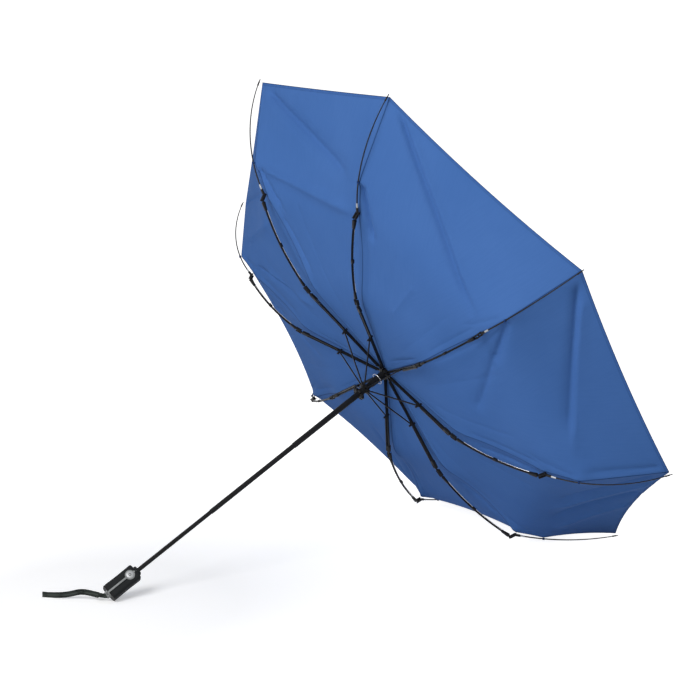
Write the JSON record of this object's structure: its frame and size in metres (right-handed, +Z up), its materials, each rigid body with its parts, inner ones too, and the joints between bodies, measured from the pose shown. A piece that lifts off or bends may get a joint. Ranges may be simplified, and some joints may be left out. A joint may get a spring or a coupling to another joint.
{
  "type": "compact windproof umbrella",
  "caption": "Folding umbrella blown inside out: cloth canopy on jointed ribs, telescopic shaft, push-button grip with inlay, wrist strap.",
  "frame": {"origin": "centre of the bounding box, on the floor", "axes": "+Z up from the floor; +X from the grip towards the open side of the inverted canopy; the shaft lies in the XZ plane"},
  "size_m": [1.1812, 1.1672, 0.9577],
  "materials": {
    "black_steel": "satin black coating",
    "black_plastic": "satin moulded",
    "rubber": "matt rubberised",
    "grey_plastic": "satin light grey",
    "silver_paint": "silver paint, semi-gloss",
    "webbing": "woven webbing",
    "glass_fibre": "satin pultruded rod",
    "blue_cloth": "fine woven, faint sheen"
  },
  "bodies": {
    "grip_body": {"grip": "rubber", "trim_inlay": "grey_plastic", "end_cap": "black_plastic", "lower_tube": "black_steel"},
    "button_body": {"button": "silver_paint"},
    "strap_body": {"wrist_strap": "webbing"},
    "middle_tube_body": {"middle_tube": "black_steel"},
    "head": {"top_tube": "black_steel", "top_notch": "black_plastic", "top_cap": "black_plastic", "canopy": "blue_cloth"},
    "runner_body": {"runner": "black_plastic"},
    "top_rib_1": {"top_rib_1": "black_steel"},
    "stretcher_1": {"stretcher_1": "black_steel"},
    "inner_bracket_1": {"inner_bracket_1": "black_plastic"},
    "middle_rib_1": {"middle_rib_1": "black_steel"},
    "outer_bracket_1": {"outer_bracket_1": "black_plastic"},
    "outer_rib_1": {"outer_rib_1": "glass_fibre"},
    "top_rib_2": {"top_rib_2": "black_steel"},
    "stretcher_2": {"stretcher_2": "black_steel"},
    "inner_bracket_2": {"inner_bracket_2": "black_plastic"},
    "middle_rib_2": {"middle_rib_2": "black_steel"},
    "outer_bracket_2": {"outer_bracket_2": "black_plastic"},
    "outer_rib_2": {"outer_rib_2": "glass_fibre"},
    "top_rib_3": {"top_rib_3": "black_steel"},
    "stretcher_3": {"stretcher_3": "black_steel"},
    "inner_bracket_3": {"inner_bracket_3": "black_plastic"},
    "middle_rib_3": {"middle_rib_3": "black_steel"},
    "outer_bracket_3": {"outer_bracket_3": "black_plastic"},
    "outer_rib_3": {"outer_rib_3": "glass_fibre"},
    "top_rib_4": {"top_rib_4": "black_steel"},
    "stretcher_4": {"stretcher_4": "black_steel"},
    "inner_bracket_4": {"inner_bracket_4": "black_plastic"},
    "middle_rib_4": {"middle_rib_4": "black_steel"},
    "outer_bracket_4": {"outer_bracket_4": "black_plastic"},
    "outer_rib_4": {"outer_rib_4": "glass_fibre"},
    "top_rib_5": {"top_rib_5": "black_steel"},
    "stretcher_5": {"stretcher_5": "black_steel"},
    "inner_bracket_5": {"inner_bracket_5": "black_plastic"},
    "middle_rib_5": {"middle_rib_5": "black_steel"},
    "outer_bracket_5": {"outer_bracket_5": "black_plastic"},
    "outer_rib_5": {"outer_rib_5": "glass_fibre"},
    "top_rib_6": {"top_rib_6": "black_steel"},
    "stretcher_6": {"stretcher_6": "black_steel"},
    "inner_bracket_6": {"inner_bracket_6": "black_plastic"},
    "middle_rib_6": {"middle_rib_6": "black_steel"},
    "outer_bracket_6": {"outer_bracket_6": "black_plastic"},
    "outer_rib_6": {"outer_rib_6": "glass_fibre"},
    "top_rib_7": {"top_rib_7": "black_steel"},
    "stretcher_7": {"stretcher_7": "black_steel"},
    "inner_bracket_7": {"inner_bracket_7": "black_plastic"},
    "middle_rib_7": {"middle_rib_7": "black_steel"},
    "outer_bracket_7": {"outer_bracket_7": "black_plastic"},
    "outer_rib_7": {"outer_rib_7": "glass_fibre"},
    "top_rib_8": {"top_rib_8": "black_steel"},
    "stretcher_8": {"stretcher_8": "black_steel"},
    "inner_bracket_8": {"inner_bracket_8": "black_plastic"},
    "middle_rib_8": {"middle_rib_8": "black_steel"},
    "outer_bracket_8": {"outer_bracket_8": "black_plastic"},
    "outer_rib_8": {"outer_rib_8": "glass_fibre"}
  },
  "joints": [
    {"name": "middle_tube_slide", "type": "slide", "parent": "grip_body", "child": "middle_tube_body", "axis": [-0.8765, 0, -0.4813], "range_m": [0, 0.185]},
    {"name": "top_tube_slide", "type": "slide", "parent": "middle_tube_body", "child": "head", "axis": [-0.8765, 0, -0.4813], "range_m": [0, 0.195]},
    {"name": "button_press", "type": "slide", "parent": "grip_body", "child": "button_body", "axis": [0.3368, 0.7145, -0.6133], "range_m": [0, 0.002], "stiffness_N_per_m": 900, "springref_m": -0.0005},
    {"name": "strap_swing", "type": "hinge", "parent": "grip_body", "child": "strap_body", "pos_m": [-0.50298, -0.00162, 0.01336], "axis": [0.4813, 0, -0.8765], "range_deg": [0, 30]},
    {"name": "fold", "type": "hinge", "parent": "head", "child": "top_rib_1", "pos_m": [0.13617, 0.00201, 0.37436], "axis": [-0.1842, -0.9239, 0.3354], "range_deg": [0, 78.67], "deforming": ["canopy"]},
    {"name": "fold_inner_bracket_1", "type": "hinge", "parent": "top_rib_1", "child": "inner_bracket_1", "pos_m": [0.01277, 0.085, 0.53515], "axis": [-0.1842, -0.9239, 0.3354], "range_deg": [-159.44, 0]},
    {"name": "fold_outer_bracket_1", "type": "hinge", "parent": "middle_rib_1", "child": "outer_bracket_1", "pos_m": [-0.04636, 0.16304, 0.71765], "axis": [-0.1842, -0.9239, 0.3354], "range_deg": [0, 204.67]},
    {"name": "fold_stretcher_1", "type": "hinge", "parent": "top_rib_1", "child": "stretcher_1", "pos_m": [0.07193, 0.04328, 0.45274], "axis": [-0.1842, -0.9239, 0.3354], "range_deg": [-148.53, 0]},
    {"name": "wind_flip", "type": "hinge", "parent": "inner_bracket_1", "child": "middle_rib_1", "pos_m": [0.0081, 0.08856, 0.54241], "axis": [0.1842, 0.9239, -0.3354], "range_deg": [-32, 0]},
    {"name": "flip_outer_rib_1", "type": "hinge", "parent": "outer_bracket_1", "child": "outer_rib_1", "pos_m": [-0.04091, 0.16488, 0.72569], "axis": [0.1842, 0.9239, -0.3354], "range_deg": [-42.51, 0]},
    {"name": "fold_top_rib_2", "type": "hinge", "parent": "head", "child": "top_rib_2", "pos_m": [0.13617, -0.00526, 0.37436], "axis": [0.1842, -0.9239, -0.3354], "range_deg": [0, 78.68]},
    {"name": "fold_inner_bracket_2", "type": "hinge", "parent": "top_rib_2", "child": "inner_bracket_2", "pos_m": [0.01277, -0.08824, 0.53515], "axis": [0.1842, -0.9239, -0.3354], "range_deg": [-159.44, 0]},
    {"name": "fold_outer_bracket_2", "type": "hinge", "parent": "middle_rib_2", "child": "outer_bracket_2", "pos_m": [-0.04636, -0.16629, 0.71765], "axis": [0.1842, -0.9239, -0.3354], "range_deg": [0, 199.17]},
    {"name": "fold_stretcher_2", "type": "hinge", "parent": "top_rib_2", "child": "stretcher_2", "pos_m": [0.07193, -0.04652, 0.45274], "axis": [0.1842, -0.9239, -0.3354], "range_deg": [-148.53, 0]},
    {"name": "flip_middle_rib_2", "type": "hinge", "parent": "inner_bracket_2", "child": "middle_rib_2", "pos_m": [0.0081, -0.09181, 0.54241], "axis": [-0.1842, 0.9239, 0.3354], "range_deg": [-32.01, 0]},
    {"name": "flip_outer_rib_2", "type": "hinge", "parent": "outer_bracket_2", "child": "outer_rib_2", "pos_m": [-0.04171, -0.16843, 0.72611], "axis": [-0.1842, 0.9239, 0.3354], "range_deg": [-37.01, 0]},
    {"name": "fold_top_rib_3", "type": "hinge", "parent": "head", "child": "top_rib_3", "pos_m": [0.13865, -0.0104, 0.36985], "axis": [0.4447, -0.3827, -0.8098], "range_deg": [0, 78.68]},
    {"name": "fold_inner_bracket_3", "type": "hinge", "parent": "top_rib_3", "child": "inner_bracket_3", "pos_m": [0.07173, -0.21073, 0.42778], "axis": [0.4447, -0.3827, -0.8098], "range_deg": [-159.44, 0]},
    {"name": "fold_outer_bracket_3", "type": "hinge", "parent": "middle_rib_3", "child": "outer_bracket_3", "pos_m": [0.06573, -0.39916, 0.51353], "axis": [0.4447, -0.3827, -0.8098], "range_deg": [0, 205.97]},
    {"name": "fold_stretcher_3", "type": "hinge", "parent": "top_rib_3", "child": "stretcher_3", "pos_m": [0.1025, -0.11002, 0.39708], "axis": [0.4447, -0.3827, -0.8098], "range_deg": [-148.53, 0]},
    {"name": "flip_middle_rib_3", "type": "hinge", "parent": "inner_bracket_3", "child": "middle_rib_3", "pos_m": [0.06949, -0.21935, 0.43062], "axis": [-0.4447, 0.3827, 0.8098], "range_deg": [-32.01, 0]},
    {"name": "flip_outer_rib_3", "type": "hinge", "parent": "outer_bracket_3", "child": "outer_rib_3", "pos_m": [0.07256, -0.40341, 0.51928], "axis": [-0.4447, 0.3827, 0.8098], "range_deg": [-43.81, 0]},
    {"name": "fold_top_rib_4", "type": "hinge", "parent": "head", "child": "top_rib_4", "pos_m": [0.14215, -0.0104, 0.36348], "axis": [0.4447, 0.3827, -0.8098], "range_deg": [0, 78.68]},
    {"name": "fold_inner_bracket_4", "type": "hinge", "parent": "top_rib_4", "child": "inner_bracket_4", "pos_m": [0.15512, -0.21073, 0.27593], "axis": [0.4447, 0.3827, -0.8098], "range_deg": [-159.44, 0]},
    {"name": "fold_outer_bracket_4", "type": "hinge", "parent": "middle_rib_4", "child": "outer_bracket_4", "pos_m": [0.22425, -0.39916, 0.22486], "axis": [0.4447, 0.3827, -0.8098], "range_deg": [0, 208.67]},
    {"name": "fold_stretcher_4", "type": "hinge", "parent": "top_rib_4", "child": "stretcher_4", "pos_m": [0.14572, -0.11002, 0.31837], "axis": [0.4447, 0.3827, -0.8098], "range_deg": [-148.53, 0]},
    {"name": "flip_middle_rib_4", "type": "hinge", "parent": "inner_bracket_4", "child": "middle_rib_4", "pos_m": [0.15631, -0.21935, 0.27252], "axis": [-0.4447, -0.3827, 0.8098], "range_deg": [-32.01, 0]},
    {"name": "flip_outer_rib_4", "type": "hinge", "parent": "outer_bracket_4", "child": "outer_rib_4", "pos_m": [0.23288, -0.40302, 0.22777], "axis": [-0.4447, -0.3827, 0.8098], "range_deg": [-46.51, 0]},
    {"name": "fold_top_rib_5", "type": "hinge", "parent": "head", "child": "top_rib_5", "pos_m": [0.14462, -0.00526, 0.35897], "axis": [0.1842, 0.9239, -0.3354], "range_deg": [0, 78.68]},
    {"name": "fold_inner_bracket_5", "type": "hinge", "parent": "top_rib_5", "child": "inner_bracket_5", "pos_m": [0.21408, -0.08824, 0.16856], "axis": [0.1842, 0.9239, -0.3354], "range_deg": [-156.84, 0]},
    {"name": "fold_outer_bracket_5", "type": "hinge", "parent": "middle_rib_5", "child": "outer_bracket_5", "pos_m": [0.3436, -0.16558, 0.02666], "axis": [0.1842, 0.9239, -0.3354], "range_deg": [0, 218.17]},
    {"name": "fold_stretcher_5", "type": "hinge", "parent": "top_rib_5", "child": "stretcher_5", "pos_m": [0.17628, -0.04652, 0.26271], "axis": [0.1842, 0.9239, -0.3354], "range_deg": [-148.53, 0]},
    {"name": "flip_middle_rib_5", "type": "hinge", "parent": "inner_bracket_5", "child": "middle_rib_5", "pos_m": [0.21808, -0.09181, 0.16091], "axis": [-0.1842, -0.9239, 0.3354], "range_deg": [-34.61, 0]},
    {"name": "flip_outer_rib_5", "type": "hinge", "parent": "outer_bracket_5", "child": "outer_rib_5", "pos_m": [0.35303, -0.16643, 0.02951], "axis": [-0.1842, -0.9239, 0.3354], "range_deg": [-56.01, 0]},
    {"name": "fold_top_rib_6", "type": "hinge", "parent": "head", "child": "top_rib_6", "pos_m": [0.14462, 0.00201, 0.35897], "axis": [-0.1842, 0.9239, 0.3354], "range_deg": [0, 78.68]},
    {"name": "fold_inner_bracket_6", "type": "hinge", "parent": "top_rib_6", "child": "inner_bracket_6", "pos_m": [0.21408, 0.085, 0.16856], "axis": [-0.1842, 0.9239, 0.3354], "range_deg": [-156.84, 0]},
    {"name": "fold_outer_bracket_6", "type": "hinge", "parent": "middle_rib_6", "child": "outer_bracket_6", "pos_m": [0.3436, 0.16234, 0.02666], "axis": [-0.1842, 0.9239, 0.3354], "range_deg": [0, 218.17]},
    {"name": "fold_stretcher_6", "type": "hinge", "parent": "top_rib_6", "child": "stretcher_6", "pos_m": [0.17628, 0.04328, 0.26271], "axis": [-0.1842, 0.9239, 0.3354], "range_deg": [-148.53, 0]},
    {"name": "flip_middle_rib_6", "type": "hinge", "parent": "inner_bracket_6", "child": "middle_rib_6", "pos_m": [0.21808, 0.08857, 0.16091], "axis": [0.1842, -0.9239, -0.3354], "range_deg": [-34.61, 0]},
    {"name": "flip_outer_rib_6", "type": "hinge", "parent": "outer_bracket_6", "child": "outer_rib_6", "pos_m": [0.35303, 0.16318, 0.02951], "axis": [0.1842, -0.9239, -0.3354], "range_deg": [-56.01, 0]},
    {"name": "fold_top_rib_7", "type": "hinge", "parent": "head", "child": "top_rib_7", "pos_m": [0.14215, 0.00716, 0.36348], "axis": [-0.4447, 0.3827, 0.8098], "range_deg": [0, 78.68]},
    {"name": "fold_inner_bracket_7", "type": "hinge", "parent": "top_rib_7", "child": "inner_bracket_7", "pos_m": [0.15512, 0.20749, 0.27593], "axis": [-0.4447, 0.3827, 0.8098], "range_deg": [-159.44, 0]},
    {"name": "fold_outer_bracket_7", "type": "hinge", "parent": "middle_rib_7", "child": "outer_bracket_7", "pos_m": [0.22425, 0.39592, 0.22486], "axis": [-0.4447, 0.3827, 0.8098], "range_deg": [0, 205.97]},
    {"name": "fold_stretcher_7", "type": "hinge", "parent": "top_rib_7", "child": "stretcher_7", "pos_m": [0.14572, 0.10678, 0.31837], "axis": [-0.4447, 0.3827, 0.8098], "range_deg": [-148.53, 0]},
    {"name": "flip_middle_rib_7", "type": "hinge", "parent": "inner_bracket_7", "child": "middle_rib_7", "pos_m": [0.15631, 0.2161, 0.27252], "axis": [0.4447, -0.3827, -0.8098], "range_deg": [-32.01, 0]},
    {"name": "flip_outer_rib_7", "type": "hinge", "parent": "outer_bracket_7", "child": "outer_rib_7", "pos_m": [0.23277, 0.40016, 0.22753], "axis": [0.4447, -0.3827, -0.8098], "range_deg": [-43.81, 0]},
    {"name": "fold_top_rib_8", "type": "hinge", "parent": "head", "child": "top_rib_8", "pos_m": [0.13865, 0.00716, 0.36985], "axis": [-0.4447, -0.3827, 0.8098], "range_deg": [0, 78.68]},
    {"name": "fold_inner_bracket_8", "type": "hinge", "parent": "top_rib_8", "child": "inner_bracket_8", "pos_m": [0.07173, 0.20749, 0.42778], "axis": [-0.4447, -0.3827, 0.8098], "range_deg": [-159.44, 0]},
    {"name": "fold_outer_bracket_8", "type": "hinge", "parent": "middle_rib_8", "child": "outer_bracket_8", "pos_m": [0.06573, 0.39592, 0.51353], "axis": [-0.4447, -0.3827, 0.8098], "range_deg": [0, 204.67]},
    {"name": "fold_stretcher_8", "type": "hinge", "parent": "top_rib_8", "child": "stretcher_8", "pos_m": [0.1025, 0.10678, 0.39708], "axis": [-0.4447, -0.3827, 0.8098], "range_deg": [-148.53, 0]},
    {"name": "flip_middle_rib_8", "type": "hinge", "parent": "inner_bracket_8", "child": "middle_rib_8", "pos_m": [0.06949, 0.2161, 0.43062], "axis": [0.4447, 0.3827, -0.8098], "range_deg": [-32.01, 0]},
    {"name": "flip_outer_rib_8", "type": "hinge", "parent": "outer_bracket_8", "child": "outer_rib_8", "pos_m": [0.07243, 0.40035, 0.5193], "axis": [0.4447, 0.3827, -0.8098], "range_deg": [-42.51, 0]},
    {"name": "runner_slide", "type": "slide", "parent": "head", "child": "runner_body", "axis": [-0.8765, 0, -0.4813], "range_m": [0, 0.16825]}
  ],
  "couplings": [
    {"joint": "fold_inner_bracket_1", "follows": "fold", "ratio": -2.0266},
    {"joint": "fold_outer_bracket_1", "follows": "fold", "ratio": 2.6015},
    {"joint": "fold_stretcher_1", "follows": "fold", "ratio": -1.8878},
    {"joint": "flip_outer_rib_1", "follows": "wind_flip", "ratio": 1.3281},
    {"joint": "fold_top_rib_2", "follows": "fold", "ratio": 1},
    {"joint": "fold_inner_bracket_2", "follows": "fold", "ratio": -2.0266},
    {"joint": "fold_outer_bracket_2", "follows": "fold", "ratio": 2.5316},
    {"joint": "fold_stretcher_2", "follows": "fold", "ratio": -1.8878},
    {"joint": "flip_middle_rib_2", "follows": "wind_flip", "ratio": 1},
    {"joint": "flip_outer_rib_2", "follows": "wind_flip", "ratio": 1.1562},
    {"joint": "fold_top_rib_3", "follows": "fold", "ratio": 1},
    {"joint": "fold_inner_bracket_3", "follows": "fold", "ratio": -2.0266},
    {"joint": "fold_outer_bracket_3", "follows": "fold", "ratio": 2.618},
    {"joint": "fold_stretcher_3", "follows": "fold", "ratio": -1.8878},
    {"joint": "flip_middle_rib_3", "follows": "wind_flip", "ratio": 1},
    {"joint": "flip_outer_rib_3", "follows": "wind_flip", "ratio": 1.3687},
    {"joint": "fold_top_rib_4", "follows": "fold", "ratio": 1},
    {"joint": "fold_inner_bracket_4", "follows": "fold", "ratio": -2.0266},
    {"joint": "fold_outer_bracket_4", "follows": "fold", "ratio": 2.6523},
    {"joint": "fold_stretcher_4", "follows": "fold", "ratio": -1.8878},
    {"joint": "flip_middle_rib_4", "follows": "wind_flip", "ratio": 1},
    {"joint": "flip_outer_rib_4", "follows": "wind_flip", "ratio": 1.4531},
    {"joint": "fold_top_rib_5", "follows": "fold", "ratio": 1},
    {"joint": "fold_inner_bracket_5", "follows": "fold", "ratio": -1.9935},
    {"joint": "fold_outer_bracket_5", "follows": "fold", "ratio": 2.7731},
    {"joint": "fold_stretcher_5", "follows": "fold", "ratio": -1.8878},
    {"joint": "flip_middle_rib_5", "follows": "wind_flip", "ratio": 1.0813},
    {"joint": "flip_outer_rib_5", "follows": "wind_flip", "ratio": 1.75},
    {"joint": "fold_top_rib_6", "follows": "fold", "ratio": 1},
    {"joint": "fold_inner_bracket_6", "follows": "fold", "ratio": -1.9935},
    {"joint": "fold_outer_bracket_6", "follows": "fold", "ratio": 2.7731},
    {"joint": "fold_stretcher_6", "follows": "fold", "ratio": -1.8878},
    {"joint": "flip_middle_rib_6", "follows": "wind_flip", "ratio": 1.0813},
    {"joint": "flip_outer_rib_6", "follows": "wind_flip", "ratio": 1.75},
    {"joint": "fold_top_rib_7", "follows": "fold", "ratio": 1},
    {"joint": "fold_inner_bracket_7", "follows": "fold", "ratio": -2.0266},
    {"joint": "fold_outer_bracket_7", "follows": "fold", "ratio": 2.618},
    {"joint": "fold_stretcher_7", "follows": "fold", "ratio": -1.8878},
    {"joint": "flip_middle_rib_7", "follows": "wind_flip", "ratio": 1},
    {"joint": "flip_outer_rib_7", "follows": "wind_flip", "ratio": 1.3687},
    {"joint": "fold_top_rib_8", "follows": "fold", "ratio": 1},
    {"joint": "fold_inner_bracket_8", "follows": "fold", "ratio": -2.0266},
    {"joint": "fold_outer_bracket_8", "follows": "fold", "ratio": 2.6015},
    {"joint": "fold_stretcher_8", "follows": "fold", "ratio": -1.8878},
    {"joint": "flip_middle_rib_8", "follows": "wind_flip", "ratio": 1},
    {"joint": "flip_outer_rib_8", "follows": "wind_flip", "ratio": 1.3281},
    {"joint": "runner_slide", "follows": "fold", "m_per_rad": 0.12247}
  ]
}
